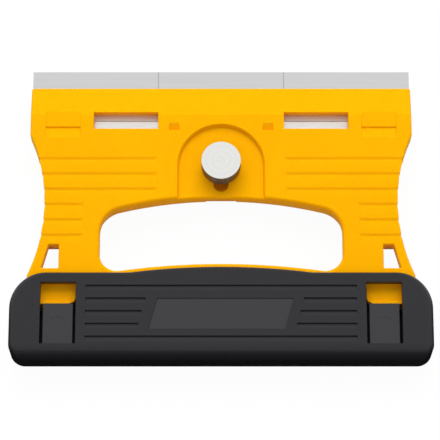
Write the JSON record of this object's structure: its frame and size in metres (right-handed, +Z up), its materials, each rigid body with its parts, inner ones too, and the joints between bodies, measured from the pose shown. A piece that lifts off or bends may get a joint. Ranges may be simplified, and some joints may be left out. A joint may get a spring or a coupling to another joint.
{
  "type": "window scraper",
  "caption": "Window scraper: a wide steel blade clamped by a knob in a moulded frame with a hand opening and grip ribs, with a safety cover stored on its feet.",
  "frame": {"origin": "middle of the underside of the scraper lying on its back, at the centre of its bounding box", "axes": "+X along the blade's edge, +Y towards the blade's edge, +Z up out of the face that carries the knob"},
  "size_m": [0.1526, 0.1116, 0.0178],
  "materials": {
    "yellow_plastic": "moulded, satin",
    "black_plastic": "moulded, fine grained",
    "blade_steel": "ground and hardened",
    "plated_steel": "bright plated",
    "spring_steel": "blackened",
    "knob_aluminium": "turned face, knurled side"
  },
  "bodies": {
    "frame": {"front_shell": "yellow_plastic", "rear_shell": "yellow_plastic", "shell_screws": "plated_steel"},
    "carriage": {"blade_carrier": "plated_steel", "clamp_nut": "plated_steel"},
    "washer": {"knob_washer": "plated_steel"},
    "knob": {"knob": "knob_aluminium", "clamp_stud": "plated_steel", "stud_ring": "spring_steel"},
    "blade": {"blade": "blade_steel"},
    "cover": {"cover": "black_plastic"}
  },
  "joints": [
    {"name": "blade_slide", "type": "slide", "parent": "frame", "child": "carriage", "axis": [0, -1, 0], "range_m": [0, 0.007]},
    {"name": "knob_lift", "type": "slide", "parent": "carriage", "child": "washer", "axis": [0, 0, 1], "range_m": [0, 0.0008]},
    {"name": "knob_turn", "type": "hinge", "parent": "washer", "child": "knob", "pos_m": [0, 0.01748, 0.01125], "axis": [0, 0, 1], "range_deg": [0, 360]},
    {"name": "blade_pull", "type": "slide", "parent": "carriage", "child": "blade", "axis": [0, 1, 0], "range_m": [0, 0.025]},
    {"name": "cover_pull", "type": "slide", "parent": "frame", "child": "cover", "axis": [0, -1, 0], "range_m": [0, 0.04]}
  ],
  "couplings": [
    {"joint": "knob_lift", "follows": "knob_turn", "m_per_rad": 0.00012732}
  ]
}
